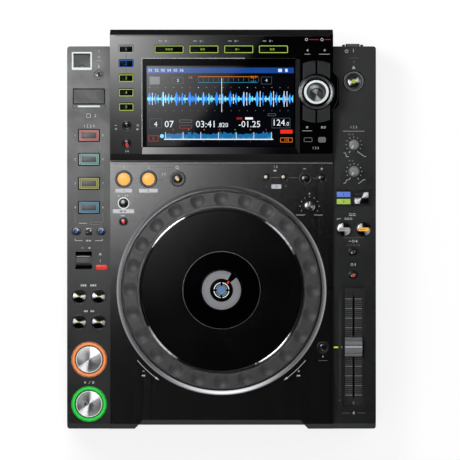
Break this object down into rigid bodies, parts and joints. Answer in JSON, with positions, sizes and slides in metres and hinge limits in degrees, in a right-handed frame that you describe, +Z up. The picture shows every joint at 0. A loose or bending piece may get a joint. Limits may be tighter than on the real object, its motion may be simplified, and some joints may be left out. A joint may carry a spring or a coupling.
{
  "type": "tabletop disc player",
  "caption": "Tabletop disc player for a DJ with a large jog wheel, tilted colour display, side strips of keys, tempo fader and front disc slot.",
  "frame": {"origin": "on the table, under the middle of the player's box", "axes": "+X to the player's right, +Y to the rear with the display, +Z up"},
  "size_m": [0.32, 0.4134, 0.1185],
  "materials": {
    "case": "satin charcoal",
    "deck": "hairline-brushed black",
    "gloss": "piano black",
    "glass": "lit display behind glass",
    "rim": "fine-grained dark grey",
    "platter": "satin black",
    "metal": "spun",
    "dark_metal": "dark satin",
    "black_key": "gloss black",
    "pad_key": "translucent charcoal",
    "orange_key": "lit orange",
    "red_key": "lit red",
    "blue_key": "lit blue",
    "board": "circuit board"
  },
  "bodies": {
    "chassis": {"bottom_case": "case", "upper_case": "case", "deck_panel": "deck", "console_case": "gloss", "display_glass": "glass", "jog_trim_ring": "metal", "jog_hub": "dark_metal", "disc_loader": "dark_metal", "main_board": "board", "tempo_fader_unit": "black_key"},
    "search_back_key": {"search_back_key": "metal"},
    "search_next_key": {"search_next_key": "metal"},
    "track_back_key": {"track_back_key": "metal"},
    "track_next_key": {"track_next_key": "metal"},
    "bank_left_key": {"bank_left_key": "blue_key"},
    "bank_right_key": {"bank_right_key": "blue_key"},
    "call_delete_key": {"call_delete_key": "black_key"},
    "hot_cue_pad_1": {"hot_cue_pad_1": "pad_key"},
    "hot_cue_pad_2": {"hot_cue_pad_2": "pad_key"},
    "hot_cue_pad_3": {"hot_cue_pad_3": "pad_key"},
    "hot_cue_pad_4": {"hot_cue_pad_4": "pad_key"},
    "usb_stop_key": {"usb_stop_key": "black_key"},
    "eject_button": {"eject_button": "black_key"},
    "jog_mode_key": {"jog_mode_key": "metal"},
    "sync_key": {"sync_key": "metal"},
    "master_key": {"master_key": "orange_key"},
    "tempo_range_key": {"tempo_range_key": "black_key"},
    "master_tempo_key": {"master_tempo_key": "red_key"},
    "loop_in_key": {"loop_in_key": "orange_key"},
    "loop_out_key": {"loop_out_key": "orange_key"},
    "reloop_key": {"reloop_key": "black_key"},
    "beat_loop_key": {"beat_loop_key": "black_key"},
    "slip_key": {"slip_key": "red_key"},
    "call_back_key": {"call_back_key": "black_key"},
    "call_next_key": {"call_next_key": "black_key"},
    "delete_key": {"delete_key": "black_key"},
    "memory_key": {"memory_key": "black_key"},
    "tempo_reset_key": {"tempo_reset_key": "black_key"},
    "cue_button": {"cue_button": "metal"},
    "play_button": {"play_button": "metal"},
    "source_key_strip": {"source_key_strip": "black_key"},
    "menu_key_strip": {"menu_key_strip": "black_key"},
    "time_mode_key": {"time_mode_key": "black_key"},
    "quantize_key": {"quantize_key": "red_key"},
    "back_key": {"back_key": "black_key"},
    "tag_key": {"tag_key": "black_key"},
    "filter_key": {"filter_key": "black_key"},
    "shortcut_key": {"shortcut_key": "black_key"},
    "power_button": {"power_button": "black_key"},
    "selector_shaft": {"selector_shaft": "dark_metal"},
    "selector_knob": {"selector_knob": "metal"},
    "touch_brake_knob": {"touch_brake_knob": "metal"},
    "release_start_knob": {"release_start_knob": "metal"},
    "jog_adjust_knob": {"jog_adjust_knob": "metal"},
    "direction_lever": {"direction_lever": "black_key"},
    "usb_cover": {"usb_cover": "dark_metal"},
    "sd_cover": {"sd_cover": "dark_metal"},
    "jog_rim": {"jog_rim": "rim"},
    "jog_plate": {"jog_plate": "platter"},
    "tempo_fader_knob": {"tempo_fader_knob": "black_key"}
  },
  "joints": [
    {"name": "search_back_key_press", "type": "slide", "parent": "chassis", "child": "search_back_key", "axis": [0, 0, -1], "range_m": [0, 0.001], "stiffness_N_per_m": 1000, "springref_m": -0.0005},
    {"name": "search_next_key_press", "type": "slide", "parent": "chassis", "child": "search_next_key", "axis": [0, 0, -1], "range_m": [0, 0.001], "stiffness_N_per_m": 1000, "springref_m": -0.0005},
    {"name": "track_back_key_press", "type": "slide", "parent": "chassis", "child": "track_back_key", "axis": [0, 0, -1], "range_m": [0, 0.001], "stiffness_N_per_m": 1000, "springref_m": -0.0005},
    {"name": "track_next_key_press", "type": "slide", "parent": "chassis", "child": "track_next_key", "axis": [0, 0, -1], "range_m": [0, 0.001], "stiffness_N_per_m": 1000, "springref_m": -0.0005},
    {"name": "bank_left_key_press", "type": "slide", "parent": "chassis", "child": "bank_left_key", "axis": [0, 0, -1], "range_m": [0, 0.001], "stiffness_N_per_m": 1000, "springref_m": -0.0005},
    {"name": "bank_right_key_press", "type": "slide", "parent": "chassis", "child": "bank_right_key", "axis": [0, 0, -1], "range_m": [0, 0.001], "stiffness_N_per_m": 1000, "springref_m": -0.0005},
    {"name": "call_delete_key_press", "type": "slide", "parent": "chassis", "child": "call_delete_key", "axis": [0, 0, -1], "range_m": [0, 0.001], "stiffness_N_per_m": 1000, "springref_m": -0.0005},
    {"name": "hot_cue_pad_1_press", "type": "slide", "parent": "chassis", "child": "hot_cue_pad_1", "axis": [0, 0, -1], "range_m": [0, 0.001], "stiffness_N_per_m": 1000, "springref_m": -0.0005},
    {"name": "hot_cue_pad_2_press", "type": "slide", "parent": "chassis", "child": "hot_cue_pad_2", "axis": [0, 0, -1], "range_m": [0, 0.001], "stiffness_N_per_m": 1000, "springref_m": -0.0005},
    {"name": "hot_cue_pad_3_press", "type": "slide", "parent": "chassis", "child": "hot_cue_pad_3", "axis": [0, 0, -1], "range_m": [0, 0.001], "stiffness_N_per_m": 1000, "springref_m": -0.0005},
    {"name": "hot_cue_pad_4_press", "type": "slide", "parent": "chassis", "child": "hot_cue_pad_4", "axis": [0, 0, -1], "range_m": [0, 0.001], "stiffness_N_per_m": 1000, "springref_m": -0.0005},
    {"name": "usb_stop_key_press", "type": "slide", "parent": "chassis", "child": "usb_stop_key", "axis": [0, 0, -1], "range_m": [0, 0.001], "stiffness_N_per_m": 1000, "springref_m": -0.0005},
    {"name": "eject_button_press", "type": "slide", "parent": "chassis", "child": "eject_button", "axis": [0, 0, -1], "range_m": [0, 0.001], "stiffness_N_per_m": 1000, "springref_m": -0.0005},
    {"name": "jog_mode_key_press", "type": "slide", "parent": "chassis", "child": "jog_mode_key", "axis": [0, 0, -1], "range_m": [0, 0.001], "stiffness_N_per_m": 1000, "springref_m": -0.0005},
    {"name": "sync_key_press", "type": "slide", "parent": "chassis", "child": "sync_key", "axis": [0, 0, -1], "range_m": [0, 0.001], "stiffness_N_per_m": 1000, "springref_m": -0.0005},
    {"name": "master_key_press", "type": "slide", "parent": "chassis", "child": "master_key", "axis": [0, 0, -1], "range_m": [0, 0.001], "stiffness_N_per_m": 1000, "springref_m": -0.0005},
    {"name": "tempo_range_key_press", "type": "slide", "parent": "chassis", "child": "tempo_range_key", "axis": [0, 0, -1], "range_m": [0, 0.001], "stiffness_N_per_m": 1000, "springref_m": -0.0005},
    {"name": "master_tempo_key_press", "type": "slide", "parent": "chassis", "child": "master_tempo_key", "axis": [0, 0, -1], "range_m": [0, 0.001], "stiffness_N_per_m": 1000, "springref_m": -0.0005},
    {"name": "loop_in_key_press", "type": "slide", "parent": "chassis", "child": "loop_in_key", "axis": [0, 0, -1], "range_m": [0, 0.001], "stiffness_N_per_m": 1000, "springref_m": -0.0005},
    {"name": "loop_out_key_press", "type": "slide", "parent": "chassis", "child": "loop_out_key", "axis": [0, 0, -1], "range_m": [0, 0.001], "stiffness_N_per_m": 1000, "springref_m": -0.0005},
    {"name": "reloop_key_press", "type": "slide", "parent": "chassis", "child": "reloop_key", "axis": [0, 0, -1], "range_m": [0, 0.001], "stiffness_N_per_m": 1000, "springref_m": -0.0005},
    {"name": "beat_loop_key_press", "type": "slide", "parent": "chassis", "child": "beat_loop_key", "axis": [0, 0, -1], "range_m": [0, 0.001], "stiffness_N_per_m": 1000, "springref_m": -0.0005},
    {"name": "slip_key_press", "type": "slide", "parent": "chassis", "child": "slip_key", "axis": [0, 0, -1], "range_m": [0, 0.001], "stiffness_N_per_m": 1000, "springref_m": -0.0005},
    {"name": "call_back_key_press", "type": "slide", "parent": "chassis", "child": "call_back_key", "axis": [0, 0, -1], "range_m": [0, 0.001], "stiffness_N_per_m": 1000, "springref_m": -0.0005},
    {"name": "call_next_key_press", "type": "slide", "parent": "chassis", "child": "call_next_key", "axis": [0, 0, -1], "range_m": [0, 0.001], "stiffness_N_per_m": 1000, "springref_m": -0.0005},
    {"name": "delete_key_press", "type": "slide", "parent": "chassis", "child": "delete_key", "axis": [0, 0, -1], "range_m": [0, 0.001], "stiffness_N_per_m": 1000, "springref_m": -0.0005},
    {"name": "memory_key_press", "type": "slide", "parent": "chassis", "child": "memory_key", "axis": [0, 0, -1], "range_m": [0, 0.001], "stiffness_N_per_m": 1000, "springref_m": -0.0005},
    {"name": "tempo_reset_key_press", "type": "slide", "parent": "chassis", "child": "tempo_reset_key", "axis": [0, 0, -1], "range_m": [0, 0.001], "stiffness_N_per_m": 1000, "springref_m": -0.0005},
    {"name": "cue_button_press", "type": "slide", "parent": "chassis", "child": "cue_button", "axis": [0, 0, -1], "range_m": [0, 0.0015], "stiffness_N_per_m": 1000, "springref_m": -0.0005},
    {"name": "play_button_press", "type": "slide", "parent": "chassis", "child": "play_button", "axis": [0, 0, -1], "range_m": [0, 0.0015], "stiffness_N_per_m": 1000, "springref_m": -0.0005},
    {"name": "source_key_strip_press", "type": "slide", "parent": "chassis", "child": "source_key_strip", "axis": [0, 0.2732, -0.962], "range_m": [0, 0.001], "stiffness_N_per_m": 1000, "springref_m": -0.0005},
    {"name": "menu_key_strip_press", "type": "slide", "parent": "chassis", "child": "menu_key_strip", "axis": [0, 0.2732, -0.962], "range_m": [0, 0.001], "stiffness_N_per_m": 1000, "springref_m": -0.0005},
    {"name": "time_mode_key_press", "type": "slide", "parent": "chassis", "child": "time_mode_key", "axis": [0, 0.2732, -0.962], "range_m": [0, 0.001], "stiffness_N_per_m": 1000, "springref_m": -0.0005},
    {"name": "quantize_key_press", "type": "slide", "parent": "chassis", "child": "quantize_key", "axis": [0, 0.2732, -0.962], "range_m": [0, 0.001], "stiffness_N_per_m": 1000, "springref_m": -0.0005},
    {"name": "back_key_press", "type": "slide", "parent": "chassis", "child": "back_key", "axis": [0, 0.2732, -0.962], "range_m": [0, 0.001], "stiffness_N_per_m": 1000, "springref_m": -0.0005},
    {"name": "tag_key_press", "type": "slide", "parent": "chassis", "child": "tag_key", "axis": [0, 0.2732, -0.962], "range_m": [0, 0.001], "stiffness_N_per_m": 1000, "springref_m": -0.0005},
    {"name": "filter_key_press", "type": "slide", "parent": "chassis", "child": "filter_key", "axis": [0, 0.2732, -0.962], "range_m": [0, 0.001], "stiffness_N_per_m": 1000, "springref_m": -0.0005},
    {"name": "shortcut_key_press", "type": "slide", "parent": "chassis", "child": "shortcut_key", "axis": [0, 0.2732, -0.962], "range_m": [0, 0.001], "stiffness_N_per_m": 1000, "springref_m": -0.0005},
    {"name": "power_button_press", "type": "slide", "parent": "chassis", "child": "power_button", "axis": [0, -1, 0], "range_m": [0, 0.002], "stiffness_N_per_m": 600, "springref_m": -0.001},
    {"name": "selector_shaft_press", "type": "slide", "parent": "chassis", "child": "selector_shaft", "axis": [0, 0.2732, -0.962], "range_m": [0, 0.0008], "stiffness_N_per_m": 1500, "springref_m": -0.0006},
    {"name": "selector_knob_turn", "type": "hinge", "parent": "selector_shaft", "child": "selector_knob", "pos_m": [0.09801, 0.14225, 0.10202], "axis": [0, -0.2732, 0.962], "continuous": true},
    {"name": "touch_brake_knob_turn", "type": "hinge", "parent": "chassis", "child": "touch_brake_knob", "pos_m": [0.13708, 0.08753, 0.074], "axis": [0, 0, 1], "range_deg": [-300, 0]},
    {"name": "release_start_knob_turn", "type": "hinge", "parent": "chassis", "child": "release_start_knob", "pos_m": [0.13731, 0.0599, 0.074], "axis": [0, 0, 1], "range_deg": [-300, 0]},
    {"name": "jog_adjust_knob_turn", "type": "hinge", "parent": "chassis", "child": "jog_adjust_knob", "pos_m": [0.09113, 0.02388, 0.078], "axis": [0, 0, 1], "range_deg": [-150, 150]},
    {"name": "direction_lever_turn", "type": "hinge", "parent": "chassis", "child": "direction_lever", "pos_m": [-0.1428, -0.03225, 0.0627], "axis": [1, 0, 0], "range_deg": [-12, 12]},
    {"name": "usb_cover_hinge", "type": "hinge", "parent": "chassis", "child": "usb_cover", "pos_m": [-0.14469, 0.18084, 0.0732], "axis": [-1, 0, 0], "range_deg": [0, 90]},
    {"name": "sd_cover_hinge", "type": "hinge", "parent": "chassis", "child": "sd_cover", "pos_m": [-0.13739, 0.145, 0.0732], "axis": [-1, 0, 0], "range_deg": [0, 90]},
    {"name": "jog_rim_spin", "type": "hinge", "parent": "chassis", "child": "jog_rim", "pos_m": [0, -0.0631, 0.078], "axis": [0, 0, 1], "continuous": true},
    {"name": "jog_plate_press", "type": "slide", "parent": "jog_rim", "child": "jog_plate", "axis": [0, 0, -1], "range_m": [0, 0.0005], "stiffness_N_per_m": 8000, "springref_m": -0.0005},
    {"name": "tempo_fader_slide", "type": "slide", "parent": "chassis", "child": "tempo_fader_knob", "axis": [0, 1, 0], "range_m": [-0.05, 0.05]}
  ]
}
